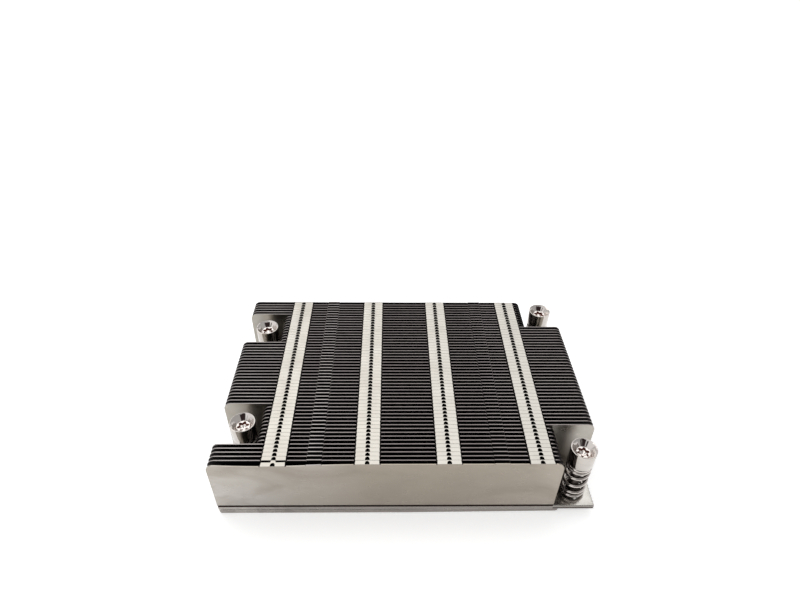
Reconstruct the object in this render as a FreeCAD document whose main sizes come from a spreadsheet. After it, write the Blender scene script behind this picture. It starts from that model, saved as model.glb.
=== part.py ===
import FreeCAD, Part
import math
import os
import re

# Low heat sink without a fan, for a large server processor.
# A stack of folded fins stands on a thin mounting plate, the mounting plate lies on a thicker
# contact plate, and four spring-loaded captive screws stand in notches of the fin stack.
# Millimetres, +Z up, +X along the fins, +Y from the front fin to the back fin, with the origin
# on the contact face, below the middle of the mounting plate.

SIZES = [
    ("fin_count", 53, "fins in the stack"),
    ("fin_pitch", 1.48, "from one fin to the next"),
    ("fin_sheet", 0.4, "thickness of the fin sheet"),
    ("fin_length", 118.8, "length of a full fin and of both plates"),
    ("fin_height", 21.3, "height of a fin above the mounting plate"),
    ("fin_corner", 2.4, "radius of a fin's upper corners"),
    ("corner_flats", 2, "flats that make up one rounded corner"),
    ("left_room", 1.5, "between a left screw's head and the ends of the short fins"),
    ("right_room", 3.2, "between a right screw's head and the ends of the short fins"),
    ("prong_fins", 6, "fins between a left notch and the end of the stack"),
    ("notch_fins", 10, "fins that a notch takes"),
    ("tab_width", 7.2, "width of a folded top tab"),
    ("inner_row", 12.1, "from the middle to an inner row of tabs"),
    ("row_room", 0.65, "between an outer row of tabs and the rounded corners of the short fins"),
    ("lock_width", 1.1, "width of the lock recess in a tab's free edge"),
    ("plate_sheet", 1.6, "thickness of the mounting plate"),
    ("plate_lip", 0.2, "mounting plate beyond the stack, in front and behind"),
    ("contact_sheet", 2.0, "thickness of the contact plate"),
    ("left_inset", 7.6, "from the left end to the left screws"),
    ("right_inset", 5.9, "from the right end to the right screws"),
    ("left_shift", 0.06, "left screws, outwards from the middles of their notches"),
    ("right_setback", 5.97, "right screws, from the front or the back of the stack"),
    ("screw_sink", 0.4, "screw head's top below the fins' top"),
    ("screw_lift", 0.2, "screw tip above the contact face"),
    ("head_radius", 4.0, "screw head"),
    ("head_height", 6.2, "screw head"),
    ("funnel_mouth", 3.75, "radius of the head's funnel at its mouth"),
    ("funnel_foot", 2.1, "radius of the head's funnel at its foot"),
    ("funnel_depth", 1.9, "depth of the head's funnel"),
    ("drive_radius", 1.9, "corner radius of the drive recess"),
    ("drive_depth", 1.8, "depth of the drive recess below the funnel"),
    ("shank_radius", 1.75, "screw shank"),
    ("shank_play", 0.08, "radial room of the shank in the mounting plate"),
    ("neck_radius", 1.25, "groove in the shank that holds the retaining clip"),
    ("clip_sheet", 0.5, "thickness of the retaining clip"),
    ("clip_play", 0.06, "room between the clip and its groove"),
    ("clip_radius", 3.1, "outside of the retaining clip"),
    ("clip_mouth", 1.9, "width of the clip's open side"),
    ("head_flats", 16, "flats round a screw head"),
    ("shank_flats", 10, "flats round a shank and a clip"),
    ("hole_flats", 20, "flats round a hole in the mounting plate"),
    ("coil_radius", 3.4, "spring, from its axis to the middle of the wire"),
    ("wire_radius", 0.55, "spring wire"),
    ("coil_turns", 7, "turns of the spring"),
    ("coil_close", 0.47, "share of the mean pitch by which the end turns close up"),
    ("coil_steps", 7, "straight steps in a turn of the spring"),
]

LOCK_SIDES = 3
DRIVE_SIDES = 6
WIRE_SIDES = 4
PAIR = 2

# Heights and lengths that follow from the driving dimensions
PLATE_TOP = "( contact_sheet + plate_sheet )"
PLATE_DEPTH = "( fin_count * fin_pitch + 2 * plate_lip )"
STACK_FRONT = "( 0 - fin_count * fin_pitch / 2 )"
HEAD_TOP = "( contact_sheet + plate_sheet + fin_height - screw_sink )"
HEAD_FOOT = "( contact_sheet + plate_sheet + fin_height - screw_sink - head_height )"
CLIP_FOOT = "( contact_sheet - clip_sheet )"
LOCK_RADIUS = "( lock_width / sqrt(3) )"
LEFT_NOTCH = "( left_inset + head_radius + left_room )"
RIGHT_NOTCH = "( right_inset + head_radius + right_room )"
LEFT_ROW = "( 0 - fin_length / 2 + " + LEFT_NOTCH + " + fin_corner + row_room + tab_width / 2 )"
RIGHT_ROW = "( fin_length / 2 - " + RIGHT_NOTCH + " - fin_corner - row_room - tab_width / 2 )"
LEFT_X = "( 0 - fin_length / 2 + left_inset )"
RIGHT_X = "( fin_length / 2 - right_inset )"
LEFT_Y = "( ( fin_count / 2 - prong_fins - notch_fins / 2 ) * fin_pitch + left_shift )"
RIGHT_Y = "( fin_count * fin_pitch / 2 - right_setback )"

ALONG_Y = FreeCAD.Rotation(FreeCAD.Vector(1, 0, 0), -90)
POINT_FORWARD = FreeCAD.Rotation(FreeCAD.Vector(0, 0, 1), -90)
UPRIGHT = FreeCAD.Rotation()

SHEET_NAMES = {alias: "Sizes." + alias for alias, value, note in SIZES}

doc = FreeCAD.newDocument("server_heat_sink")
sheet = doc.addObject("Spreadsheet::Sheet", "Sizes")
for row, (alias, value, note) in enumerate(SIZES, start=1):
    sheet.set("A%d" % row, alias)
    sheet.set("B%d" % row, str(value))
    sheet.setAlias("B%d" % row, alias)
    sheet.set("C%d" % row, note)
doc.recompute()

sub_parts = []


def size(alias):
    """The value of one driving dimension."""
    return float(sheet.get(alias))


def bound(text):
    """An expression on the sheet, from words such as fin_length / 2."""
    return re.sub("[a-z_]+", lambda word: SHEET_NAMES.get(word.group(), word.group()), str(text))


def bind(thing, **fields):
    for field, text in fields.items():
        thing.setExpression(field, bound(text))


def place(thing, x="0", y="0", z="0", turned=UPRIGHT):
    thing.Placement = FreeCAD.Placement(FreeCAD.Vector(), turned)
    for axis, text in (("x", x), ("y", y), ("z", z)):
        thing.setExpression("Placement.Base." + axis, bound(text))


def box(name, length, width, height, x="0", y="0", z="0"):
    thing = doc.addObject("Part::Box", name)
    bind(thing, Length=length, Width=width, Height=height)
    place(thing, x, y, z)
    return thing


def cylinder(name, radius, height, x="0", y="0", z="0"):
    thing = doc.addObject("Part::Cylinder", name)
    bind(thing, Radius=radius, Height=height)
    place(thing, x, y, z)
    return thing


def prism(name, sides, radius, height, x="0", y="0", z="0", turned=UPRIGHT):
    thing = doc.addObject("Part::Prism", name)
    bind(thing, Polygon=sides, Circumradius=radius, Height=height)
    place(thing, x, y, z, turned)
    return thing


def ring_of(radius, height, sides):
    """The corners of a level regular polygon round the Z axis."""
    turns = [2 * math.pi * side / sides for side in range(sides)]
    return [FreeCAD.Vector(radius * math.cos(turn), radius * math.sin(turn), height) for turn in turns]


def polygon(corners):
    return Part.Face(Part.makePolygon(corners + corners[:1]))


def through_rings(name, rings, whole_sides):
    """A solid with flat faces through rings of as many corners each.

    A side between two rings is one face where its four corners lie in a plane, else two.
    """
    faces = [polygon(rings[0]), polygon(rings[-1])]
    for lower, upper in zip(rings, rings[1:]):
        for side in range(len(lower)):
            after = (side + 1) % len(lower)
            if whole_sides:
                faces.append(polygon([lower[side], lower[after], upper[after], upper[side]]))
            else:
                faces.append(polygon([lower[side], lower[after], upper[after]]))
                faces.append(polygon([lower[side], upper[after], upper[side]]))
    solid = Part.Solid(Part.Shell(faces))
    if solid.Volume < 0:
        solid.reverse()
    thing = doc.addObject("Part::Feature", name)
    thing.Shape = solid
    return thing


def joined(name, things):
    thing = doc.addObject("Part::MultiFuse", name)
    thing.Shapes = things
    thing.Refine = True
    return thing


def cut(name, base, tools):
    """The base less one tool or several."""
    thing = doc.addObject("Part::Cut", name)
    thing.Base = base
    thing.Tool = tools[0] if len(tools) == 1 else joined(name + "_tools", tools)
    thing.Refine = True
    return thing


def placed(name, things, x="0", y="0", z="0"):
    """Finished pieces, set at a place worked out on the sheet."""
    thing = doc.addObject("Part::Compound", name)
    thing.Links = things
    place(thing, x, y, z)
    return thing


def sub_part(label, thing):
    thing.Label = label
    sub_parts.append(thing)


# Screws stand in a trapezoid: the left pair is closer together than the right pair.
SCREWS = {
    "front_left": (LEFT_X, "0 - " + LEFT_Y),
    "back_left": (LEFT_X, LEFT_Y),
    "front_right": (RIGHT_X, "0 - " + RIGHT_Y),
    "back_right": (RIGHT_X, RIGHT_Y),
}


def mounting_plate():
    """Thin full rectangle under the fins, with a hole for each screw."""
    blank = box("plate_blank", "fin_length", PLATE_DEPTH, "plate_sheet",
                "0 - fin_length / 2", "0 - " + PLATE_DEPTH + " / 2", "contact_sheet")
    radius = "( shank_radius + shank_play ) / cos(180 deg / hole_flats)"
    holes = [
        prism(corner + "_hole", "hole_flats", radius, "plate_sheet", x, y, "contact_sheet")
        for corner, (x, y) in SCREWS.items()
    ]
    sub_part("mounting_plate", cut("plate", blank, holes))


def contact_plate():
    """Thick plate that touches the processor, with a notch round each screw, as in the fins."""
    blank = box("contact_blank", "fin_length", PLATE_DEPTH, "contact_sheet",
                "0 - fin_length / 2", "0 - " + PLATE_DEPTH + " / 2")
    notch = "notch_fins * fin_pitch"
    end_notch = "notch_fins * fin_pitch + plate_lip"
    left = "0 - fin_length / 2"
    right = "fin_length / 2 - " + RIGHT_NOTCH
    far_left = "0 - " + STACK_FRONT + " - ( prong_fins + notch_fins ) * fin_pitch"
    places = {
        "front_left": (LEFT_NOTCH, notch, left, STACK_FRONT + " + prong_fins * fin_pitch"),
        "back_left": (LEFT_NOTCH, notch, left, far_left),
        "front_right": (RIGHT_NOTCH, end_notch, right, STACK_FRONT + " - plate_lip"),
        "back_right": (RIGHT_NOTCH, end_notch, right, "0 - " + STACK_FRONT + " - notch_fins * fin_pitch"),
    }
    notches = [
        box(corner + "_notch", length, depth, "contact_sheet", x, y)
        for corner, (length, depth, x, y) in places.items()
    ]
    sub_part("contact_plate", cut("contact", blank, notches))


def fin_shape(name, left_cut, right_cut, tabbed=True):
    """One folded fin with its front face at Y = 0 and its foot at Z = 0.

    The sheet stands upright with rounded upper corners. Its whole foot and four tabs at its top
    are folded back as far as the next fin, and each tab has a lock recess in its free edge.
    A fin with no fin behind it has no tabs.
    """
    left = "( 0 - fin_length / 2 + " + left_cut + " )"
    right = "( fin_length / 2 - " + right_cut + " )"
    length = "( fin_length - " + left_cut + " - " + right_cut + " )"
    shoulder = "( fin_height - fin_corner )"
    pieces = [
        box(name + "_lower", length, "fin_sheet", shoulder, left),
        box(name + "_upper", length + " - 2 * fin_corner", "fin_sheet", "fin_height", left + " + fin_corner"),
        box(name + "_foot", length, "fin_pitch", "fin_sheet", left),
    ]
    for side, x in (("left", left + " + fin_corner"), ("right", right + " - fin_corner")):
        pieces.append(prism(name + "_" + side + "_corner", "4 * corner_flats", "fin_corner",
                            "fin_sheet", x, "0", shoulder, ALONG_Y))
    if not tabbed:
        return joined(name, pieces)
    locks = []
    rows = (LEFT_ROW, "0 - inner_row", "inner_row", RIGHT_ROW)
    for number, row in enumerate(rows, start=1):
        pieces.append(box(name + "_tab_%d" % number, "tab_width", "fin_pitch", "fin_sheet",
                          row + " - tab_width / 2", "0", "fin_height - fin_sheet"))
        locks.append(prism(name + "_lock_%d" % number, LOCK_SIDES, LOCK_RADIUS, "fin_sheet",
                           row, "fin_pitch - " + LOCK_RADIUS + " / 2", "fin_height - fin_sheet",
                           POINT_FORWARD))
    return cut(name, joined(name + "_sheet", pieces), locks)


def fin_stack():
    """All fins. Near the screws a fin is short on one side or on both, and the last has no tabs."""
    shapes = {}
    for left_short in (False, True):
        for right_short in (False, True):
            name = "fin_%s_%s" % ("short" if left_short else "full", "short" if right_short else "full")
            left_cut = LEFT_NOTCH if left_short else "0"
            right_cut = RIGHT_NOTCH if right_short else "0"
            shapes[left_short, right_short] = fin_shape(name, left_cut, right_cut)
    last = fin_shape("fin_last", "0", RIGHT_NOTCH, tabbed=False)
    count = int(size("fin_count"))
    prong = int(size("prong_fins"))
    notch = int(size("notch_fins"))
    middle = []
    for number in range(count):
        from_end = min(number, count - 1 - number)
        left_short = prong <= from_end < prong + notch
        right_short = from_end < notch
        shape = last if number == count - 1 else shapes[left_short, right_short]
        place_y = STACK_FRONT + " + %d * fin_pitch" % number
        fin = placed("fin_place_%02d" % (number + 1), [shape], "0", place_y, PLATE_TOP)
        if from_end < prong + notch:
            sub_part("fin_%02d" % (number + 1), fin)
        else:
            middle.append((number + 1, fin))
    # The alike fins of the middle go two to a file.
    for start in range(0, len(middle), PAIR):
        group = middle[start:start + PAIR]
        numbers = "_".join("%02d" % number for number, fin in group)
        sub_part("fin_" + numbers, placed("fins_" + numbers, [fin for number, fin in group]))


def screw_shape():
    """Captive screw: tall head with a polished funnel and a drive recess, shank, clip groove, tip."""
    head = prism("head", "head_flats", "head_radius", "head_height", z=HEAD_FOOT)
    shank = prism("shank", "shank_flats", "shank_radius", HEAD_FOOT + " - contact_sheet - clip_play",
                  z="contact_sheet + clip_play")
    neck = prism("neck", "shank_flats", "neck_radius", "clip_sheet + 2 * clip_play",
                 z=CLIP_FOOT + " - clip_play")
    tip = cylinder("tip", "shank_radius", CLIP_FOOT + " - clip_play - screw_lift", z="screw_lift")
    head_top = size("contact_sheet") + size("plate_sheet") + size("fin_height") - size("screw_sink")
    flats = int(size("head_flats"))
    foot = ring_of(size("funnel_foot"), head_top - size("funnel_depth"), flats)
    mouth = ring_of(size("funnel_mouth"), head_top, flats)
    funnel = through_rings("funnel", [foot, mouth], True)
    drive = prism("drive", DRIVE_SIDES, "drive_radius", "drive_depth",
                  z=HEAD_TOP + " - funnel_depth - drive_depth")
    return cut("screw", joined("screw_blank", [head, shank, neck, tip]), [funnel, drive])


def clip_shape():
    """Flat spring-steel ring, open on one side, that snaps into the shank's groove."""
    ring = prism("clip_ring", "shank_flats", "clip_radius", "clip_sheet", z=CLIP_FOOT)
    radius = "( neck_radius + clip_play ) / cos(180 deg / shank_flats)"
    bore = prism("clip_bore", "shank_flats", radius, "clip_sheet", z=CLIP_FOOT)
    mouth = box("clip_gap", "clip_radius", "clip_mouth", "clip_sheet", "0", "0 - clip_mouth / 2", CLIP_FOOT)
    return cut("clip", ring, [bore, mouth])


def coil_shape():
    """Compression spring from the mounting plate up to the screw head.

    The wire has a square section set on edge and runs in straight steps. The end turns lie
    closer than the middle ones: the pitch follows a cosine along the wire.
    """
    wire = size("wire_radius")
    turns = size("coil_turns")
    close = size("coil_close") / (2 * math.pi)
    low = size("contact_sheet") + size("plate_sheet")
    high = low + size("fin_height") - size("screw_sink") - size("head_height")
    steps = int(round(turns * size("coil_steps")))
    rings = []
    for step in range(steps + 1):
        share = step / steps
        height = low + wire + (high - low - 2 * wire) * (share - close * math.sin(2 * math.pi * share))
        angle = 2 * math.pi * turns * share
        outward = FreeCAD.Vector(math.cos(angle), math.sin(angle), 0)
        middle = outward * size("coil_radius") + FreeCAD.Vector(0, 0, height)
        rings.append([middle + outward * point.x + FreeCAD.Vector(0, 0, point.y)
                      for point in ring_of(wire, 0, WIRE_SIDES)])
    return through_rings("coil", rings, False)


def captive_screws():
    """Screw, spring and retaining clip at each of the four places."""
    shapes = {"screw": screw_shape(), "spring": coil_shape(), "clip": clip_shape()}
    for corner, (x, y) in SCREWS.items():
        for kind, shape in shapes.items():
            sub_part(corner + "_" + kind, placed(corner + "_" + kind, [shape], x, y))


mounting_plate()
contact_plate()
fin_stack()
captive_screws()
doc.recompute()

for thing in doc.Objects:
    if "Invalid" in thing.State or "Error" in thing.State:
        raise RuntimeError("%s failed: %s" % (thing.Name, thing.State))
for thing in sub_parts:
    if thing.Shape.isNull() or not thing.Shape.isValid():
        raise RuntimeError("%s has no valid shape" % thing.Label)

os.makedirs("parts", exist_ok=True)
for thing in sub_parts:
    thing.Shape.exportStep("parts/%s.step" % thing.Label)
print("%d sub-parts written" % len(sub_parts))
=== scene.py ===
import math
import random

import bpy
import bmesh
from mathutils import Matrix, Vector


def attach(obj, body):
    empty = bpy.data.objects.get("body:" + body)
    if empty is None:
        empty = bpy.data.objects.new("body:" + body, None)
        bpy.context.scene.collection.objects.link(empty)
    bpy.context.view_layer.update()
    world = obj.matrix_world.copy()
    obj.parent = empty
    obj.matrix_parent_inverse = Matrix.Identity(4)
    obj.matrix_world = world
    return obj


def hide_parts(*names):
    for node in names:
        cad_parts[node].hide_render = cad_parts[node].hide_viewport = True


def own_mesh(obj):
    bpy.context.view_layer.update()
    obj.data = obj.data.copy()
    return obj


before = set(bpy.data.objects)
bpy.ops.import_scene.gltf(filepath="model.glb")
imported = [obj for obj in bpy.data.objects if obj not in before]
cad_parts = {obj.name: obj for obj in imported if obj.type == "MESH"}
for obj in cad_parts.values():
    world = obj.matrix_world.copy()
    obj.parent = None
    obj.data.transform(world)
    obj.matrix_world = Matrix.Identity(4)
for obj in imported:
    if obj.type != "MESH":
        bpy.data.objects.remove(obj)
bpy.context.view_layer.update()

# Sizes in millimetres, the same as in the part's source.
MM = 0.001
FIN_COUNT = 53
PITCH = 1.48
SHEET = 0.4
LENGTH = 118.8
PLATE_TOP = 3.6
CONTACT_TOP = 2.0
FIN_TOP = 24.9
CORNER = 2.4
NOTCH = 13.1
NOTCH_FINS = 10
PRONG_FINS = 6
STACK_FRONT = -FIN_COUNT * PITCH / 2
PLATE_LIP = 0.2
TAB_ROWS = (-39.65, -12.1, 12.1, 39.65)
TAB_HALF = 3.6
SCREWS = {
    "front_left": (-51.8, -23.0),
    "back_left": (-51.8, 23.0),
    "front_right": (53.5, -33.25),
    "back_right": (53.5, 33.25),
}
HEAD_TOP = 24.5
HEAD_FOOT = 18.3


# Meshes

def new_object(name, vertices, faces, materials, body, smooth_angle=35.0, kinds=None):
    """A mesh object from points in millimetres, with one material or one per kind of face."""
    mesh = bpy.data.meshes.new(name)
    mesh.from_pydata([(x * MM, y * MM, z * MM) for x, y, z in vertices], [], faces)
    if kinds:
        mesh.polygons.foreach_set("material_index", kinds)
    mesh.validate()
    work = bmesh.new()
    work.from_mesh(mesh)
    bmesh.ops.remove_doubles(work, verts=work.verts, dist=1e-7)
    bmesh.ops.recalc_face_normals(work, faces=work.faces)
    work.to_mesh(mesh)
    work.free()
    mesh.shade_smooth()
    mesh.set_sharp_from_angle(angle=math.radians(smooth_angle))
    return finish_object(name, mesh, materials, body)


def put_in_scene(name, data):
    thing = bpy.data.objects.new(name, data)
    bpy.context.scene.collection.objects.link(thing)
    return thing


def finish_object(name, mesh, materials, body):
    thing = put_in_scene(name, mesh)
    while len(mesh.materials) < len(materials):
        mesh.materials.append(None)
    for number, material in enumerate(materials):
        mesh.materials[number] = material
    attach(thing, body)
    return thing


# Materials

def node_setup(name, world=False):
    holder = bpy.data.worlds.new(name) if world else bpy.data.materials.new(name)
    holder.use_nodes = True
    tree = holder.node_tree
    tree.nodes.clear()
    return holder, tree


def add(tree, kind, **fields):
    node = tree.nodes.new(kind)
    for field, value in fields.items():
        setattr(node, field, value)
    return node


def link(tree, source, target):
    tree.links.new(source, target)


def noise_on(tree, coordinate, scale, detail=3.0,
             stretch=(1, 1, 1), turn=(0, 0, 0), distortion=0.0):
    mapping = add(tree, "ShaderNodeMapping")
    mapping.inputs["Scale"].default_value = stretch
    mapping.inputs["Rotation"].default_value = [math.radians(a) for a in turn]
    link(tree, coordinate, mapping.inputs["Vector"])
    noise = add(tree, "ShaderNodeTexNoise")
    noise.inputs["Scale"].default_value = scale
    noise.inputs["Detail"].default_value = detail
    noise.inputs["Distortion"].default_value = distortion
    link(tree, mapping.outputs["Vector"], noise.inputs["Vector"])
    return noise.outputs["Fac"]


def spread(tree, value, low, high, out_low, out_high):
    """A value mapped from one range to another, and held inside it."""
    node = add(tree, "ShaderNodeMapRange")
    node.inputs["From Min"].default_value = low
    node.inputs["From Max"].default_value = high
    node.inputs["To Min"].default_value = out_low
    node.inputs["To Max"].default_value = out_high
    link(tree, value, node.inputs["Value"])
    return node.outputs["Result"]


def tint(tree, share, first, second):
    """A mix of two colours. The first one can be the output of a node."""
    node = add(tree, "ShaderNodeMix", data_type="RGBA")
    if isinstance(first, tuple):
        node.inputs["A"].default_value = (*first, 1)
    else:
        link(tree, first, node.inputs["A"])
    node.inputs["B"].default_value = (*second, 1)
    link(tree, share, node.inputs["Factor"])
    return node.outputs["Result"]


def calculate(tree, operation, *values):
    """A Math node. Each value is a number or the output of a node."""
    node = add(tree, "ShaderNodeMath", operation=operation)
    for socket, value in zip(node.inputs, values):
        if isinstance(value, float):
            socket.default_value = value
        else:
            link(tree, value, socket)
    return node.outputs[0]


def bumps(tree, heights, distances):
    """Bump nodes one after the other, the last one's normal is the result."""
    normal = None
    for height, distance in zip(heights, distances):
        node = add(tree, "ShaderNodeBump")
        node.inputs["Distance"].default_value = distance
        node.inputs["Strength"].default_value = 1.0
        link(tree, height, node.inputs["Height"])
        if normal is not None:
            link(tree, normal, node.inputs["Normal"])
        normal = node.outputs["Normal"]
    return normal


def metal(name, light, dark, rough_low, rough_high,
          grain=(1, 1, 1), grain_scale=2500, grain_depth=0.000004, blotch=110.0,
          scratches=0.0, wave=0.0, far=(), smudge=None, smear=0.4):
    """Plated metal: blotchy tint, uneven roughness, fine grain, slow waves and rubbed scratches.

    far lists tints of painted shade and painted reflection that come in along an axis, each with
    the places where it starts and is full.
    """
    material, tree = node_setup(name)
    where = add(tree, "ShaderNodeTexCoord").outputs["Object"]
    shader = add(tree, "ShaderNodeBsdfPrincipled")
    out = add(tree, "ShaderNodeOutputMaterial")
    link(tree, shader.outputs["BSDF"], out.inputs["Surface"])
    shader.inputs["Metallic"].default_value = 1.0
    cloud = noise_on(tree, where, blotch, 4.0, distortion=0.4)
    colour = tint(tree, spread(tree, cloud, 0.35, 0.68, 0.0, 1.0), light, dark)
    for painted_tone, axis, start, end in far:
        parts = add(tree, "ShaderNodeSeparateXYZ")
        link(tree, where, parts.inputs[0])
        colour = tint(tree, spread(tree, parts.outputs[axis], start, end, 0.0, 0.9), colour, painted_tone)
    if smudge:
        # Wide handling marks, drawn out at a slant.
        mark = noise_on(tree, where, 30.0, 4.0, (1, 1, 2.6), (0, 24, 0), 1.3)
        colour = tint(tree, spread(tree, mark, 0.48, 0.74, 0.0, 0.85), colour, smudge)
    elif smear:
        streak = noise_on(tree, where, 90.0, 5.0, (1, 1, 5), (0, 35, 0), 0.8)
        streak = spread(tree, streak, 0.56, 0.72, 0.0, smear)
        colour = tint(tree, streak, colour, tuple(0.8 * c for c in dark))
    link(tree, colour, shader.inputs["Base Color"])
    rough = noise_on(tree, where, 260.0, 4.0, (1, 1, 2.5), (0, 20, 0))
    rough = spread(tree, rough, 0.3, 0.7, rough_low, rough_high)
    link(tree, rough, shader.inputs["Roughness"])
    heights = [noise_on(tree, where, grain_scale, 2.0, grain)]
    depths = [grain_depth]
    if wave:
        heights.append(noise_on(tree, where, 60.0, 1.0))
        depths.append(wave)
    if scratches:
        line = noise_on(tree, where, 700.0, 2.0, (1, 1, 14), (0, 62, 0), 0.3)
        heights.append(spread(tree, line, 0.62, 0.72, 0.0, 1.0))
        depths.append(scratches)
    link(tree, bumps(tree, heights, depths), shader.inputs["Normal"])
    return material


# The tabs are painted darker from the middle towards the right end: painted shade.
FIN_METAL = metal(
    "fin_sheet_metal", (0.515, 0.49, 0.446), (0.465, 0.438, 0.393), 0.24, 0.34, smear=0.12,
    far=[((0.445, 0.424, 0.39), "X", -0.02, 0.048)])
# Near-black painted shade, for the faces and cut edges that lie in the gaps and openings of the
# stack.
FIN_SHADE_METAL = metal("fin_painted_shade", (0.045, 0.036, 0.037), (0.03, 0.024, 0.025), 0.4, 0.55)
# The rims are painted lightest at the left end, darkest in the middle and a little lighter at the
# right: painted shade along the stack.
EDGE_METAL = metal(
    "fin_edge_metal", (0.335, 0.31, 0.30), (0.27, 0.245, 0.24), 0.3, 0.45, grain_scale=4000,
    far=[((0.225, 0.20, 0.197), "X", -0.052, -0.038),
         ((0.19, 0.167, 0.164), "X", -0.02, -0.006),
         ((0.235, 0.21, 0.206), "X", 0.022, 0.03)])
# The front face is painted light at the left end, dark brown in the middle and lighter again at
# the right: a painted reflection of the room. The slanting smudges are handling marks.
FACE_METAL = metal(
    "fin_face_metal", (0.48, 0.455, 0.425), (0.44, 0.41, 0.37), 0.26, 0.38,
    blotch=70.0, wave=0.00003, smudge=(0.292, 0.255, 0.212),
    far=[((0.306, 0.266, 0.216), "X", -0.052, -0.012),
         ((0.398, 0.353, 0.303), "X", 0.015, 0.048)])
WALL_METAL = metal(
    "fin_wall_metal", (0.43, 0.405, 0.365), (0.37, 0.342, 0.30), 0.27, 0.31, smear=0.0)
# The right raised strip is painted darker than the left one: painted shade.
RAISED_METAL = metal(
    "fin_raised_metal", (0.345, 0.32, 0.31), (0.275, 0.25, 0.243), 0.26, 0.4, grain_scale=4000,
    far=[((0.25, 0.228, 0.222), "X", -0.002, 0.002)])
FIN_LOOKS = [FIN_METAL, FIN_SHADE_METAL, EDGE_METAL, FACE_METAL, WALL_METAL, RAISED_METAL]
EXPOSED, PAINTED_SHADE, EDGE, FACE, WALL, RAISED = range(6)

CUT = {"blotch": 200.0, "grain": (0.2, 0.2, 9), "grain_depth": 0.00001}
PLATE_METAL = metal(
    "mounting_plate_metal", (0.52, 0.505, 0.48), (0.44, 0.42, 0.39), 0.16, 0.28,
    grain=(1, 6, 6), scratches=0.000004)
CONTACT_METAL = metal(
    "contact_plate_metal", (0.50, 0.48, 0.45), (0.40, 0.38, 0.345), 0.2, 0.34,
    grain=(0.2, 8, 8), grain_depth=0.000008)
# The plates' cut sides are darker than their faces, partly for their cut finish and partly as
# painted shade, and painted lighter at the left end.
CUT_SHADED_METAL = metal(
    "plate_edge_cut_and_shaded", (0.39, 0.36, 0.335), (0.24, 0.213, 0.197), 0.22, 0.36, **CUT,
    far=[((0.27, 0.243, 0.225), "X", -0.05, -0.03)])
SHEARED_SHADED_METAL = metal(
    "plate_sheared_and_shaded_edge", (0.46, 0.43, 0.40), (0.28, 0.253, 0.236), 0.22, 0.36, **CUT,
    far=[((0.30, 0.272, 0.253), "X", -0.05, -0.03)])
# Near-black painted shade for the crease under the outer fins' foot.
CREASE_SHADE_METAL = metal("plate_crease_painted_shade", (0.075, 0.05, 0.045), (0.045, 0.03, 0.027), 0.4, 0.55)
# The free corners' sides are painted near black towards the bottom: painted shade under the plate.
CORNER_SHADE_METAL = metal(
    "plate_corner_painted_shade", (0.40, 0.37, 0.345), (0.28, 0.253, 0.236), 0.22, 0.36, **CUT,
    far=[((0.035, 0.025, 0.022), "Z", 0.0033, 0.0028)])
PLATE_LOOKS = [PLATE_METAL, SHEARED_SHADED_METAL, CREASE_SHADE_METAL, CORNER_SHADE_METAL]
FLAT, CUT_SIDE, CREASE_SHADE, FREE_CORNER = range(4)

SCREW_METAL = metal(
    "screw_metal", (0.56, 0.525, 0.49), (0.49, 0.458, 0.424), 0.05, 0.12, grain_depth=0.0000015)
FUNNEL_METAL = metal(
    "screw_funnel_metal", (0.66, 0.615, 0.587), (0.55, 0.51, 0.483), 0.025, 0.06,
    grain_depth=0.0000005)
# The drive recess is painted dark brown, darker than the head: painted shade inside the recess.
RECESS_SHADE_METAL = metal("screw_recess_painted_shade", (0.40, 0.23, 0.18), (0.22, 0.12, 0.10), 0.08, 0.18)
# The shank inside the coil is painted near black: painted shade between the coils.
SHANK_SHADE_METAL = metal("screw_shank_painted_shade", (0.10, 0.085, 0.08), (0.06, 0.05, 0.047), 0.2, 0.34)
SCREW_LOOKS = [SCREW_METAL, RECESS_SHADE_METAL, FUNNEL_METAL, SHANK_SHADE_METAL]
PLATED, RECESS, FUNNEL, SHANK = range(4)
SPRING_METAL = metal(
    "spring_metal", (0.62, 0.575, 0.545), (0.475, 0.435, 0.41), 0.08, 0.18, grain_depth=0.000002)
CLIP_METAL = metal("clip_metal", (0.40, 0.39, 0.375), (0.28, 0.27, 0.26), 0.22, 0.38)


# Fins

# How near two values may be and still differ: two places, and two heights on one upright.
TINY = 1e-6
LEVEL_GAP = 1e-3
BEND = 0.06
TAB_ARC = BEND * math.pi / 2
FOOT_BEND = 0.6
FOOT_ARC = FOOT_BEND * math.pi / 2
ARC_STEPS = 4
CORNER_STEPS = 7
PLAIN_STEP = 4.0
ROWS = (0.0, 6.0, 12.0, 17.0)
# Heights along the sheet, from the foot's bend.
WEB_TOP = FIN_TOP - BEND - PLATE_TOP - FOOT_BEND
PLAIN_TOP = FIN_TOP - 0.23 - PLATE_TOP - FOOT_BEND
RAISED_TOP = FIN_TOP - PLATE_TOP - FOOT_BEND
RELIEF_TOP = WEB_TOP - 0.6
FRONT_RELIEF_TOP = WEB_TOP - 0.12
SLIT_TOP = PLAIN_TOP - 0.4
# The strips where the sheet stands higher.
STEP_IN, STEP_OUT = 25.5, 30.0
STEP_SLIT = 0.14
RIGHT_STEP_DROP = 0.1
# The tabs, their openings and the front left one's tongue.
RELIEF = 0.38
WINDOW = 0.7
WINDOW_GROWTH = 0.045
WINDOW_STRETCH = 1.6
WINDOW_STRAIGHT = 0.4
WINDOW_ARCH = 0.82
WINDOW_STEPS = 6
TONGUE = ((0.82, 0.0), (0.76, 0.1), (0.58, 0.85))
TAPER = 0.12
FREE_GAP = 0.03
# The sheared rim is a little thinner than the sheet, and painted with shade at the short fins'
# right corners.
RIM = 0.33
RIM_DEPTH = 0.3
END_MARGIN = 0.01
DARK_CORNER_FRONT, DARK_CORNER_BACK = 0.5, 0.9
# How the fins lean at their ends and ripple, and how the first one is bent out on the left.
LEAN = 0.05
LEAN_START = 0.72
RIPPLE = 0.012
RIPPLE_LENGTH = 9.0
BOW = 0.72
BOW_CENTRE, BOW_WIDTH = -43.0, 17.0
BOW_CURVE = 1.4


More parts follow.
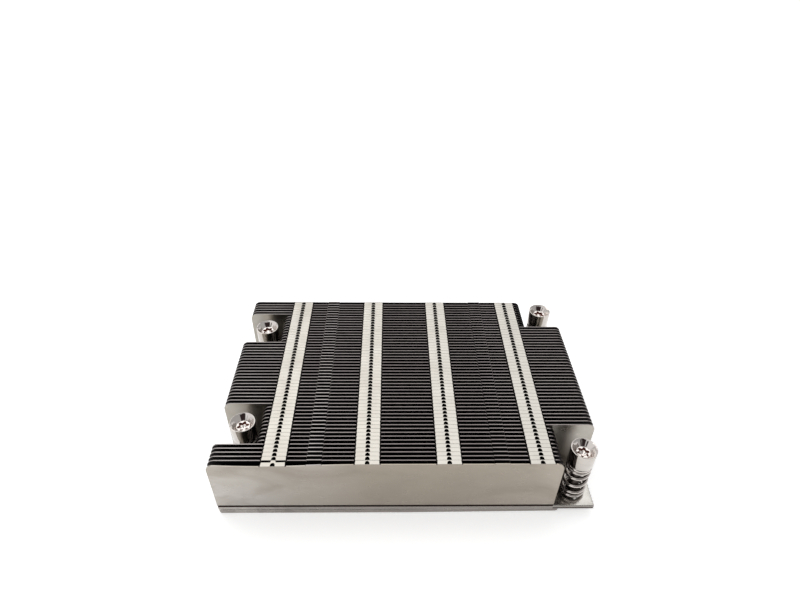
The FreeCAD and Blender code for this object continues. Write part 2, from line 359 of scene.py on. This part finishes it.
class Folded:
    """A folded sheet, drawn flat.

    x runs along the fin, and s up the sheet's outer side from the foot's bend.
    """

    def __init__(self, right, tab_drop, rim, window, dark_from):
        self.right = right
        self.tab_drop = tab_drop
        self.rim = rim
        self.window = window
        self.dark_from = dark_from
        self.index = {}
        self.flat = []
        self.outer = []
        self.inner = []
        self.cells = []
        self.sides = []

    def fold(self, s, tab):
        """The place (y, z) where s comes to lie, and the way that the outer side faces there."""
        if s <= -FOOT_ARC:
            return (FOOT_BEND - FOOT_ARC - s, PLATE_TOP), (0, -1)
        if s < 0:
            cos, sin = math.cos(-s / FOOT_BEND), math.sin(-s / FOOT_BEND)
            return (FOOT_BEND * (1 - cos), PLATE_TOP + FOOT_BEND * (1 - sin)), (-cos, -sin)
        if s <= WEB_TOP or not tab:
            return (0, PLATE_TOP + FOOT_BEND + s), (-1, 0)
        if s < WEB_TOP + TAB_ARC:
            cos, sin = math.cos((s - WEB_TOP) / BEND), math.sin((s - WEB_TOP) / BEND)
            return (BEND * (1 - cos), FIN_TOP - BEND + BEND * sin), (-cos, sin)
        along = s - WEB_TOP - TAB_ARC
        return (BEND + along, FIN_TOP - self.tab_drop * along), (0, 1)

    def point(self, x, s, tab=False):
        key = (round(x, 4), round(s, 4), tab and s > WEB_TOP + TINY)
        if key not in self.index:
            (y, z), (normal_y, normal_z) = self.fold(s, tab)
            self.index[key] = len(self.outer)
            self.flat.append((x, s))
            self.outer.append((x, y, z))
            in_rim = s > WEB_TOP - RIM_DEPTH and not tab and not self.in_tab(x)
            thick = RIM if in_rim else SHEET
            inner_y, inner_z = y - thick * normal_y, z - thick * normal_z
            if s > WEB_TOP - TINY and (tab or self.in_tab(x)):
                # The bend is tighter than the sheet is thick, so its inner side is sharp.
                inner_y, inner_z = max(inner_y, SHEET), min(inner_z, FIN_TOP - SHEET)
            self.inner.append((x, inner_y, inner_z))
        return self.index[key]

    def in_tab(self, x):
        return any(abs(x - row) < TAB_HALF + TINY for row in TAB_ROWS)

    def edge_kind(self, a, b):
        """What the cut edge between two points shows."""
        (xa, sa), (xb, sb) = self.flat[a], self.flat[b]
        x, s = (xa + xb) / 2, min(sa, sb)
        away = min(abs(x - row) for row in TAB_ROWS)
        if away < TAB_HALF + TINY and s > WEB_TOP - TINY:
            return PAINTED_SHADE if away < self.window + TINY else EXPOSED
        if away < TAB_HALF + RELIEF - TINY and s > RELIEF_TOP - TINY:
            return PAINTED_SHADE
        if STEP_IN < abs(x) < STEP_OUT and s > WEB_TOP:
            return RAISED
        # Painted shade on the rim near the short fins' right corners.
        if self.dark_from < x < self.right - END_MARGIN and self.rim == EDGE:
            return PAINTED_SHADE
        return self.rim

    def cell(self, corners, tab=False, sides=(PAINTED_SHADE, PAINTED_SHADE)):
        ring = []
        for x, s in corners:
            number = self.point(x, s, tab)
            if not ring or ring[-1] != number:
                ring.append(number)
        if ring[0] == ring[-1]:
            ring.pop()
        if len(ring) > 2:
            self.cells.append(ring)
            self.sides.append(sides)

    def mesh_data(self, warp):
        count = len(self.outer)
        points = [warp(*p) for p in self.outer] + [warp(*p) for p in self.inner]
        faces = [list(ring) for ring in self.cells]
        faces += [[count + number for number in reversed(ring)] for ring in self.cells]
        edges = dict.fromkeys(
            (a, b) for ring in self.cells for a, b in zip(ring, ring[1:] + ring[:1]))
        kinds = [outer for outer, inner in self.sides] + [inner for outer, inner in self.sides]
        for a, b in edges:
            if (b, a) not in edges:
                faces.append([b, a, count + a, count + b])
                kinds.append(self.edge_kind(a, b))
        return points, faces, kinds


def top_edge(left, right, tabbed, relief_top, window):
    """The sheet's upper outline, with breaks at every feature, as (x from, x to, s from, s to)."""
    spots = []
    for row in TAB_ROWS if tabbed else ():
        spots += [
            (row - TAB_HALF - RELIEF, row - TAB_HALF, relief_top),
            (row - TAB_HALF, row - window, WEB_TOP),
            (row - window, row + window, WEB_TOP),
            (row + window, row + TAB_HALF, WEB_TOP),
            (row + TAB_HALF, row + TAB_HALF + RELIEF, relief_top),
        ]
    for low, high, step_top in ((-STEP_OUT, -STEP_IN, RAISED_TOP),
                                (STEP_IN, STEP_OUT, RAISED_TOP - RIGHT_STEP_DROP)):
        spots.append((low - STEP_SLIT, low, SLIT_TOP))
        spots.append((low, high, step_top))
        spots.append((high, high + STEP_SLIT, SLIT_TOP))
    spots.sort()
    angles = [math.pi / 2 * step / CORNER_STEPS for step in range(CORNER_STEPS + 1)]
    corner = [(CORNER * (1 - math.cos(a)), PLAIN_TOP - CORNER * (1 - math.sin(a)))
              for a in angles]
    pieces = []
    for (xa, ta), (xb, tb) in zip(corner, corner[1:]):
        pieces.append((left + xa, left + xb, ta, tb))
    here = left + CORNER

    def plain(to):
        nonlocal here
        steps = max(1, math.ceil((to - here) / PLAIN_STEP))
        for step in range(steps):
            xa = here + (to - here) * step / steps
            xb = here + (to - here) * (step + 1) / steps
            if xb - xa > TINY:
                pieces.append((xa, xb, PLAIN_TOP, PLAIN_TOP))
        here = to

    for low, high, height in spots:
        plain(low)
        pieces.append((low, high, height, height))
        here = high
    plain(right - CORNER)
    corner.reverse()
    for (xa, ta), (xb, tb) in zip(corner, corner[1:]):
        pieces.append((right - xa, right - xb, ta, tb))
    return pieces


def fin_data(sheet, left, warp, bare, tabbed, long_row):
    """Points, faces and kinds of a fin. bare(x) says what its outer and inner side show there."""
    window = sheet.window
    relief_top = FRONT_RELIEF_TOP if sheet.rim == FACE else RELIEF_TOP
    pieces = top_edge(left, sheet.right, tabbed, relief_top, window)
    levels = {}
    for xa, xb, ta, tb in pieces:
        levels.setdefault(round(xa, 4), set()).add(round(ta, 4))
        levels.setdefault(round(xb, 4), set()).add(round(tb, 4))
    row = ROWS[-1]
    foot_rows = [-FOOT_ARC - (PITCH - FOOT_BEND)]
    foot_rows += [-FOOT_ARC * step / ARC_STEPS for step in range(ARC_STEPS, -1, -1)]
    for xa, xb, ta, tb in pieces:
        sides = bare((xa + xb) / 2)
        for low, high in zip(foot_rows, foot_rows[1:]):
            sheet.cell([(xa, low), (xb, low), (xb, high), (xa, high)])
        for low, high in zip(ROWS, ROWS[1:]):
            sheet.cell([(xa, low), (xb, low), (xb, high), (xa, high)], sides=sides)
        right_side = [s for s in sorted(levels[round(xb, 4)]) if row < s < tb - LEVEL_GAP]
        left_side = [s for s in sorted(levels[round(xa, 4)]) if row < s < ta - LEVEL_GAP]
        ring = [(xa, row), (xb, row)] + [(xb, s) for s in right_side] + [(xb, tb), (xa, ta)]
        ring += [(xa, s) for s in reversed(left_side)]
        sheet.cell(ring, sides=sides)
    start = WEB_TOP + TAB_ARC
    free = start + PITCH - BEND - FREE_GAP
    straight = start + WINDOW_STRAIGHT + WINDOW_STRETCH * (window - WINDOW)
    bend_rows = [WEB_TOP + TAB_ARC * step / ARC_STEPS for step in range(ARC_STEPS + 1)]
    shown = (EXPOSED, PAINTED_SHADE)
    for centre in TAB_ROWS if tabbed else ():
        for low, high in zip(bend_rows, bend_rows[1:]):
            sheet.cell([(centre - window, low), (centre + window, low),
                        (centre + window, high), (centre - window, high)], True, shown)
        for side in (-1, 1):
            outer, inner = centre + side * TAB_HALF, centre + side * window
            for low, high in zip(bend_rows, bend_rows[1:]):
                ring = [(outer, low), (inner, low), (inner, high), (outer, high)]
                sheet.cell(ring if side < 0 else ring[::-1], True, shown)
            ring = [(outer, start), (inner, start)]
            for step in range(WINDOW_STEPS + 1):
                angle = math.pi / 2 * step / WINDOW_STEPS
                ring.append((centre + side * window * math.cos(angle),
                             straight + WINDOW_ARCH * math.sin(angle)))
            if centre == long_row:
                ring.append((centre, free + TONGUE[-1][1]))
                ring += [(centre + side * half, free + reach) for half, reach in reversed(TONGUE)]
            else:
                ring.append((centre, free))
            ring.append((outer - side * TAPER, free))
            sheet.cell(ring if side < 0 else ring[::-1], True, shown)
    return sheet.mesh_data(warp)


def warp_for(number, lean, phase):
    """The function that puts a fin's points in their place in the stack."""
    place = STACK_FRONT + (number - 1) * PITCH

    def warp(x, y, z):
        height = max(0.0, (z - PLATE_TOP) / (FIN_TOP - PLATE_TOP))
        if number == 1:
            across = math.exp(-((x - BOW_CENTRE) / BOW_WIDTH) ** 2)
            shift = -BOW * across * height ** BOW_CURVE
        else:
            end = max(0.0, abs(x) / (LENGTH / 2) - LEAN_START) / (1 - LEAN_START)
            shift = height * end * (lean[0] if x < 0 else lean[1])
            shift += RIPPLE * height * math.sin(x / RIPPLE_LENGTH + phase)
        return x, place + y + shift, z
    return warp


def bare_for(number):
    """The function that says what a fin's sides show at x: the open, or painted shade where the
    next fin stands close.
    """
    end = LENGTH / 2 - NOTCH - CORNER
    left_ahead = (PRONG_FINS + NOTCH_FINS + 1, FIN_COUNT - PRONG_FINS + 1)
    left_behind = (PRONG_FINS, FIN_COUNT - PRONG_FINS - NOTCH_FINS)

    def bare(x):
        ahead = ((x > end and number == NOTCH_FINS + 1)
                 or (x < -end and number in left_ahead))
        behind = (number == FIN_COUNT or (x > end and number == FIN_COUNT - NOTCH_FINS)
                  or (x < -end and number in left_behind))
        front = FACE if number == 1 else WALL if ahead else PAINTED_SHADE
        return front, WALL if behind else PAINTED_SHADE
    return bare


def build_fins():
    chance = random.Random(41)
    node_of = {}
    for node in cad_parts:
        if node.startswith("fin_"):
            for number in node.split("_")[1:]:
                node_of[int(number)] = node
    for number in range(1, FIN_COUNT + 1):
        first, last = number == 1, number == FIN_COUNT
        from_end = min(number - 1, FIN_COUNT - number)
        left_short = PRONG_FINS <= from_end < PRONG_FINS + NOTCH_FINS
        right_short = from_end < NOTCH_FINS
        left = -LENGTH / 2 + (NOTCH if left_short else 0)
        right = LENGTH / 2 - (NOTCH if right_short else 0)
        dark = DARK_CORNER_FRONT if number <= FIN_COUNT // 2 else DARK_CORNER_BACK
        lean = [chance.uniform(-LEAN, LEAN) for _ in range(2)]
        phase = chance.uniform(0, 6.28)
        sheet = Folded(
            right,
            tab_drop=0.01 + 0.02 * chance.random(),
            rim=FACE if first else PAINTED_SHADE if last else EDGE,
            window=WINDOW + WINDOW_GROWTH * (number - 1) / (FIN_COUNT - 1),
            dark_from=right - CORNER * dark if right_short else right)
        points, faces, kinds = fin_data(sheet, left, warp_for(number, lean, phase),
                                        bare_for(number), tabbed=not last,
                                        long_row=TAB_ROWS[0] if first else None)
        fin = new_object("folded_fin_%02d" % number, points, faces, FIN_LOOKS,
                         "heatsink", kinds=kinds)
        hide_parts(node_of[number])


# Screws, springs, plates and clips

SCREW_SIDES = 96
HEAD_RADIUS = 4.0
SHANK_RADIUS = 1.75
CORE_RADIUS = 1.45
GROOVE_RADIUS = 1.25
THREAD_LOW, THREAD_HIGH, THREAD_STEP = 0.42, 1.32, 0.06
THREAD_DEPTH, THREAD_PITCH = 0.3, 0.6
FUNNEL_MOUTH, FUNNEL_NARROWING = 3.69, 1.54
FUNNEL_START, FUNNEL_DEPTH, FUNNEL_CURVE = 0.06, 1.75, 1.15
FUNNEL_STEPS = 6
# The faint flats that polishing leaves: how deep, how many round the funnel, and turned by what.
FLATS = ((0.014, 5, 1.0), (0.01, 11, 0.0), (0.006, 23, 2.0))
LOBES, LOBE_CURVE = 6, 1.3
SCREW_TURNS = {"front_left": 0.35, "back_left": 0.9, "front_right": 0.1, "back_right": 0.6}
SCREW_SMOOTH, SPRING_SMOOTH = 32, 60

WIRE = 0.55
WIRE_SIDES = 14
SPRING_RADIUS = 3.4
SPRING_TURNS = 5.75
SPRING_STEPS = 48
SPRING_START = 0.1
SPRING_CLOSING = 0.62

PLATE_ROUND, PLATE_BEVEL = 0.5, 0.3
CONTACT_ROUND, CONTACT_BEVEL = 1.0, 0.5
SCREW_HOLE = 1.83
CONTACT_REACH = 2.2
CONTACT_EASE = 0.45
# Where the faces at the long edges start, in metres.
LONG_EDGE = 0.039
# How far up a cut face looks, and a slanting one: the z of its normal.
CUT_LOW, CUT_HIGH = -0.95, 0.4
SLANT_LOW, SLANT_HIGH = 0.35, 0.98

CLIP_LOW, CLIP_HIGH, CLIP_BEVEL = 1.5, 2.0, 0.06
CLIP_OUTER, CLIP_INNER, CLIP_PRONG = 3.1, 1.95, 1.32
CLIP_START, CLIP_END = 38, 322
CLIP_OUTER_STEPS, CLIP_INNER_STEPS = 40, 60
PRONGS, PRONG_HALF = (48, 180, 312), 13


def tube_faces(rings, sides):
    """Faces between closed rings of points, and one over each end."""
    faces = []
    for number in range(rings - 1):
        for side in range(sides):
            after = (side + 1) % sides
            a, b = number * sides, (number + 1) * sides
            faces.append([a + side, a + after, b + after, b + side])
    faces.append(list(reversed(range(sides))))
    last = (rings - 1) * sides
    faces.append([last + side for side in range(sides)])
    return faces


def level(radius, height):
    return lambda angle: (radius, height)


def turned(radius, height):
    """A level of the funnel, with its flats."""
    def ring(angle):
        waves = sum(depth * math.sin(count * angle + phase) for depth, count, phase in FLATS)
        return radius * (1 + waves), height
    return ring


def star(radius, depth, height):
    """Six-lobed outline of the drive recess."""
    def ring(angle):
        return radius - depth * (0.5 - 0.5 * math.cos(LOBES * angle)) ** LOBE_CURVE, height
    return ring


def thread(radius, depth, height, pitch):
    def ring(angle):
        share = (height / pitch - angle / (2 * math.pi)) % 1.0
        return radius - depth * abs(2 * share - 1), height
    return ring


def screw_mesh(turn):
    """Rings from the screw's tip up, over the head's rim and down the funnel to the recess."""
    rings = [level(1.1, 0.2), level(CORE_RADIUS, 0.36)]
    height = THREAD_LOW
    while height < THREAD_HIGH:
        rings.append(thread(SHANK_RADIUS, THREAD_DEPTH, height, THREAD_PITCH))
        height += THREAD_STEP
    rings += [level(CORE_RADIUS, 1.4), level(GROOVE_RADIUS, 1.46), level(GROOVE_RADIUS, 2.04),
              level(1.66, 2.08), level(SHANK_RADIUS, 2.2), level(SHANK_RADIUS, PLATE_TOP),
              level(SHANK_RADIUS, HEAD_FOOT)]
    shank, head = len(rings) - 2, len(rings)
    rings += [level(3.8, HEAD_FOOT), level(3.94, HEAD_FOOT + 0.06),
              level(HEAD_RADIUS, HEAD_FOOT + 0.2), level(HEAD_RADIUS, HEAD_TOP - 0.16),
              level(3.96, HEAD_TOP - 0.05), level(3.87, HEAD_TOP), level(3.8, HEAD_TOP),
              level(3.72, HEAD_TOP - 0.05)]
    rim = len(rings) - 3
    for step in range(1, FUNNEL_STEPS + 1):
        share = step / FUNNEL_STEPS
        rings.append(turned(FUNNEL_MOUTH - FUNNEL_NARROWING * share,
                            HEAD_TOP - FUNNEL_START - FUNNEL_DEPTH * share ** FUNNEL_CURVE))
    rings += [level(2.1, HEAD_TOP - 1.86), star(1.94, 0.62, HEAD_TOP - 1.9)]
    recess = len(rings) - 1
    rings += [star(1.88, 0.62, HEAD_TOP - 1.98), star(1.8, 0.6, HEAD_TOP - 2.9)]
    floor = len(rings) - 1
    rings += [star(1.2, 0.3, HEAD_TOP - 3.0), level(0.5, HEAD_TOP - 3.3),
              level(0.12, HEAD_TOP - 3.35)]
    points = []
    for ring in rings:
        for side in range(SCREW_SIDES):
            angle = 2 * math.pi * side / SCREW_SIDES
            radius, height = ring(angle)
            points.append((radius * math.cos(angle), radius * math.sin(angle), height))
    kinds = []
    for number in range(len(rings) - 1):
        if number < rim:
            kind = SHANK if shank <= number < head else PLATED
        else:
            kind = RECESS if recess <= number < floor else FUNNEL
        kinds += [kind] * SCREW_SIDES
    kinds += [PLATED, FUNNEL]
    cos, sin = math.cos(turn), math.sin(turn)
    points = [(x * cos - y * sin, x * sin + y * cos, z) for x, y, z in points]
    return points, tube_faces(len(rings), SCREW_SIDES), kinds


def spring_mesh():
    """A coil of round wire between plate and screw head, with closer turns at both ends."""
    low, high = PLATE_TOP + WIRE, HEAD_FOOT - WIRE
    total = round(SPRING_TURNS * SPRING_STEPS)
    points = []
    for step in range(total + 1):
        share = step / total
        rise = share - SPRING_CLOSING * math.sin(2 * math.pi * share) / (2 * math.pi)
        height = low + (high - low) * rise
        angle = 2 * math.pi * (SPRING_TURNS * share + SPRING_START)
        for side in range(WIRE_SIDES):
            turn = 2 * math.pi * side / WIRE_SIDES
            reach = SPRING_RADIUS + WIRE * math.cos(turn)
            points.append((math.cos(angle) * reach, math.sin(angle) * reach,
                           height + WIRE * math.sin(turn)))
    return points, tube_faces(total + 1, WIRE_SIDES)


def plate_object(name, outlines, low, high, bevel, materials, body):
    """A flat piece with rounded edges: a filled 2D curve of one outline and its holes.

    Its cut sides get the second material, if there is one.
    """
    curve = bpy.data.curves.new(name + "_outline", "CURVE")
    curve.dimensions = "2D"
    curve.fill_mode = "BOTH"
    curve.extrude = ((high - low) / 2 - bevel) * MM
    curve.bevel_depth = bevel * MM
    curve.bevel_resolution = 2
    curve.offset = -bevel * MM
    for outline in outlines:
        spline = curve.splines.new("POLY")
        spline.points.add(len(outline) - 1)
        for point, (x, y) in zip(spline.points, outline):
            point.co = (x * MM, y * MM, 0, 1)
        spline.use_cyclic_u = True
    holder = put_in_scene(name + "_outline", curve)
    bpy.context.view_layer.update()
    graph = bpy.context.evaluated_depsgraph_get()
    mesh = bpy.data.meshes.new_from_object(holder.evaluated_get(graph))
    bpy.data.objects.remove(holder)
    bpy.data.curves.remove(curve)
    mesh.transform(Matrix.Translation((0, 0, (low + high) / 2 * MM)))
    work = bmesh.new()
    work.from_mesh(mesh)
    bmesh.ops.remove_doubles(work, verts=work.verts, dist=1e-6)
    bmesh.ops.recalc_face_normals(work, faces=work.faces)
    for face in work.faces:
        cut = len(materials) > 1 and CUT_LOW < face.normal.z < CUT_HIGH
        face.material_index = CUT_SIDE if cut else FLAT
    work.to_mesh(mesh)
    work.free()
    mesh.shade_smooth()
    mesh.set_sharp_from_angle(angle=math.radians(40))
    mesh.name = name
    return finish_object(name, mesh, materials, body)


def rounded(corners, radius, steps=5):
    """A closed outline with every corner rounded, inner corners too."""
    result = []
    count = len(corners)
    for number, here in enumerate(corners):
        before = Vector(corners[number - 1]) - Vector(here)
        after = Vector(corners[(number + 1) % count]) - Vector(here)
        start = Vector(here) + before.normalized() * radius
        end = Vector(here) + after.normalized() * radius
        for step in range(steps + 1):
            share = step / steps
            point = start.lerp(Vector(here), share).lerp(Vector(here).lerp(end, share), share)
            result.append((point.x, point.y))
    return result


def circle(x, y, radius, sides=48):
    angles = [2 * math.pi * number / sides for number in range(sides)]
    return [(x + radius * math.cos(angle), y + radius * math.sin(angle)) for angle in angles]


def build_plates():
    half, deep = LENGTH / 2, -STACK_FRONT + PLATE_LIP
    inner_left, inner_right = -half + NOTCH, half - NOTCH
    corners = [(-half, -deep), (inner_right, -deep), (half, -deep), (half, deep),
               (inner_right, deep), (-half, deep)]
    holes = [circle(x, y, SCREW_HOLE) for x, y in SCREWS.values()]
    plate = plate_object("pressed_plate", [rounded(corners, PLATE_ROUND)] + holes, CONTACT_TOP,
                         PLATE_TOP, PLATE_BEVEL, PLATE_LOOKS, "heatsink")
    for face in plate.data.polygons:
        # A line of painted shade runs along the foot of the outer fins, and the free corners are
        # painted with shade below.
        if abs(face.center.y) > LONG_EDGE:
            if face.center.x > inner_right * MM:
                face.material_index = FREE_CORNER if face.normal.z < SLANT_LOW else FLAT
            elif SLANT_LOW < face.normal.z < SLANT_HIGH:
                face.material_index = CREASE_SHADE
    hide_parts("mounting_plate")
    near = -STACK_FRONT - PRONG_FINS * PITCH
    far = near - NOTCH_FINS * PITCH
    side = -STACK_FRONT - NOTCH_FINS * PITCH
    cut = inner_right + CONTACT_REACH
    front, back = -deep + CONTACT_EASE, deep - CONTACT_EASE
    corners = [(-half, -deep), (0, -deep), (cut, front), (cut, -side), (half, -side),
               (half, side), (cut, side), (cut, back), (0, deep), (-half, deep), (-half, near),
               (inner_left, near), (inner_left, far), (-half, far), (-half, -far),
               (inner_left, -far), (inner_left, -near), (-half, -near)]
    base = plate_object("milled_plate", [rounded(corners, CONTACT_ROUND)], 0.0, CONTACT_TOP,
                        CONTACT_BEVEL, [CONTACT_METAL, CUT_SHADED_METAL], "heatsink")
    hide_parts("contact_plate")


def clip_outline():
    """A three-pronged open retaining ring, with its mouth towards +X."""
    sweep = CLIP_END - CLIP_START
    outline = []
    for step in range(CLIP_OUTER_STEPS + 1):
        angle = math.radians(CLIP_START + sweep * step / CLIP_OUTER_STEPS)
        outline.append((CLIP_OUTER * math.cos(angle), CLIP_OUTER * math.sin(angle)))
    for step in range(CLIP_INNER_STEPS + 1):
        turn = CLIP_END - sweep * step / CLIP_INNER_STEPS
        prong = any(abs(turn - at) < PRONG_HALF for at in PRONGS)
        radius = CLIP_PRONG if prong else CLIP_INNER
        angle = math.radians(turn)
        outline.append((radius * math.cos(angle), radius * math.sin(angle)))
    return outline


def moved(points, x, y):
    return [(px + x, py + y, *rest) for px, py, *rest in points]


def build_screws():
    for corner, (x, y) in SCREWS.items():
        points, faces, kinds = screw_mesh(SCREW_TURNS[corner])
        screw = new_object(corner + "_captive_screw", moved(points, x, y), faces, SCREW_LOOKS,
                           corner + "_screw", SCREW_SMOOTH, kinds)
        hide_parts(corner + "_screw")
        points, faces = spring_mesh()
        coil = new_object(corner + "_coil", moved(points, x, y), faces, [SPRING_METAL],
                          "heatsink", SPRING_SMOOTH)
        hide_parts(corner + "_spring")
        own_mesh(coil)
        clip = plate_object(corner + "_ring", [moved(clip_outline(), x, y)], CLIP_LOW,
                            CLIP_HIGH, CLIP_BEVEL, [CLIP_METAL], corner + "_clip")
        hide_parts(corner + "_clip")


# Floor, light, camera. Places are in metres.

FLOOR_COLOUR = (0.86, 0.86, 0.86)
FLOOR_GLOW = 0.5
AIR_STRENGTH = 0.8
AIR_COLOUR, AIR_RIGHT = (0.85, 0.85, 0.85), (0.55, 0.55, 0.55)
AIR_NEAR, AIR_LOW = (0.05, 0.034, 0.036), (1.25, 1.25, 1.25)
# The camera was solved from the photo. Its turns are how far it looks down, aside and leans.
PHOTO_WIDTH = 800
SENSOR_WIDTH = 36.0
FOCAL_PIXELS = 571.65
CAMERA_PLACE = (-0.0056, -0.14212, 0.16498)
CAMERA_TURNS = (37.655, -1.2836, 0.9585)


def build_stage():
    points = [(-3, -3, 0), (3, -3, 0), (3, 5, 0), (-3, 5, 0)]
    mesh = bpy.data.meshes.new("floor")
    mesh.from_pydata(points, [], [[0, 1, 2, 3]])
    floor = put_in_scene("floor", mesh)
    material, tree = node_setup("floor_paint")
    out = add(tree, "ShaderNodeOutputMaterial")
    paint = add(tree, "ShaderNodeBsdfDiffuse")
    paint.inputs["Color"].default_value = (*FLOOR_COLOUR, 1)
    glow = add(tree, "ShaderNodeEmission")
    glow.inputs["Color"].default_value = (1, 1, 1, 1)
    rays = add(tree, "ShaderNodeLightPath").outputs
    seen = calculate(tree, "MAXIMUM", rays["Is Camera Ray"], rays["Is Glossy Ray"])
    seen = calculate(tree, "MAXIMUM", seen, rays["Is Transmission Ray"])
    link(tree, calculate(tree, "MULTIPLY", seen, FLOOR_GLOW), glow.inputs["Strength"])
    both = add(tree, "ShaderNodeAddShader")
    link(tree, paint.outputs[0], both.inputs[0])
    link(tree, glow.outputs[0], both.inputs[1])
    link(tree, both.outputs[0], out.inputs["Surface"])
    mesh.materials.append(material)


def area(name, place, wide, tall, power):
    """A soft box that looks at the origin."""
    light = bpy.data.lights.new(name, "AREA")
    light.shape = "RECTANGLE"
    light.size, light.size_y = wide, tall
    light.energy = power
    thing = put_in_scene(name, light)
    thing.location = place
    thing.rotation_euler = (-Vector(place)).to_track_quat("-Z", "Y").to_euler()


def build_light():
    world, tree = node_setup("studio_air", world=True)
    bpy.context.scene.world = world
    out = add(tree, "ShaderNodeOutputWorld")
    sky = add(tree, "ShaderNodeBackground")
    parts = add(tree, "ShaderNodeSeparateXYZ")
    link(tree, add(tree, "ShaderNodeTexCoord").outputs["Generated"], parts.inputs[0])
    # The room is dark on the camera's side and bright elsewhere, most of all low down.
    back = calculate(tree, "MULTIPLY", parts.outputs["Y"], -1.0)
    turn = calculate(tree, "ARCTAN2", parts.outputs["X"], back)
    aside = spread(tree, calculate(tree, "ABSOLUTE", turn), 0.54, 0.62, 0.0, 1.0)
    overhead = spread(tree, parts.outputs["Z"], 0.72, 0.85, 0.0, 1.0)
    near = calculate(tree, "SUBTRACT", 1.0, calculate(tree, "MAXIMUM", aside, overhead))
    right = spread(tree, parts.outputs["X"], -0.1, 0.5, 0.0, 0.6)
    colour = tint(tree, right, AIR_COLOUR, AIR_RIGHT)
    colour = tint(tree, near, colour, AIR_NEAR)
    low = spread(tree, parts.outputs["Z"], 0.18, 0.3, 1.0, 0.0)
    colour = tint(tree, low, colour, AIR_LOW)
    link(tree, colour, sky.inputs["Color"])
    sky.inputs["Strength"].default_value = AIR_STRENGTH
    link(tree, sky.outputs[0], out.inputs["Surface"])
    area("back_box", (-0.15, 0.7, 1.165), 2.4, 1.2, 10.3)
    area("key_box", (-0.8, -0.2, 0.8), 1.2, 1.2, 1.6)


def build_camera():
    pitch, yaw, roll = (math.radians(turn) for turn in CAMERA_TURNS)
    swing = Matrix.Rotation(yaw, 3, "Z")
    right = swing @ Vector((1, 0, 0))
    forward = swing @ Vector((0, math.cos(pitch), -math.sin(pitch)))
    up = swing @ Vector((0, math.sin(pitch), math.cos(pitch)))
    side = math.cos(roll) * right + math.sin(roll) * up
    top = -math.sin(roll) * right + math.cos(roll) * up
    camera = bpy.data.cameras.new("camera")
    camera.sensor_fit = "HORIZONTAL"
    camera.sensor_width = SENSOR_WIDTH
    camera.lens = FOCAL_PIXELS / PHOTO_WIDTH * SENSOR_WIDTH
    camera.clip_start = 0.005
    camera.clip_end = 20.0
    thing = put_in_scene("camera", camera)
    turn = Matrix((side, top, -forward)).transposed()
    thing.matrix_world = Matrix.Translation(CAMERA_PLACE) @ turn.to_4x4()
    bpy.context.scene.camera = thing


bpy.context.scene.view_settings.view_transform = "Standard"
build_camera()
build_light()
build_stage()
build_fins()
build_plates()
build_screws()
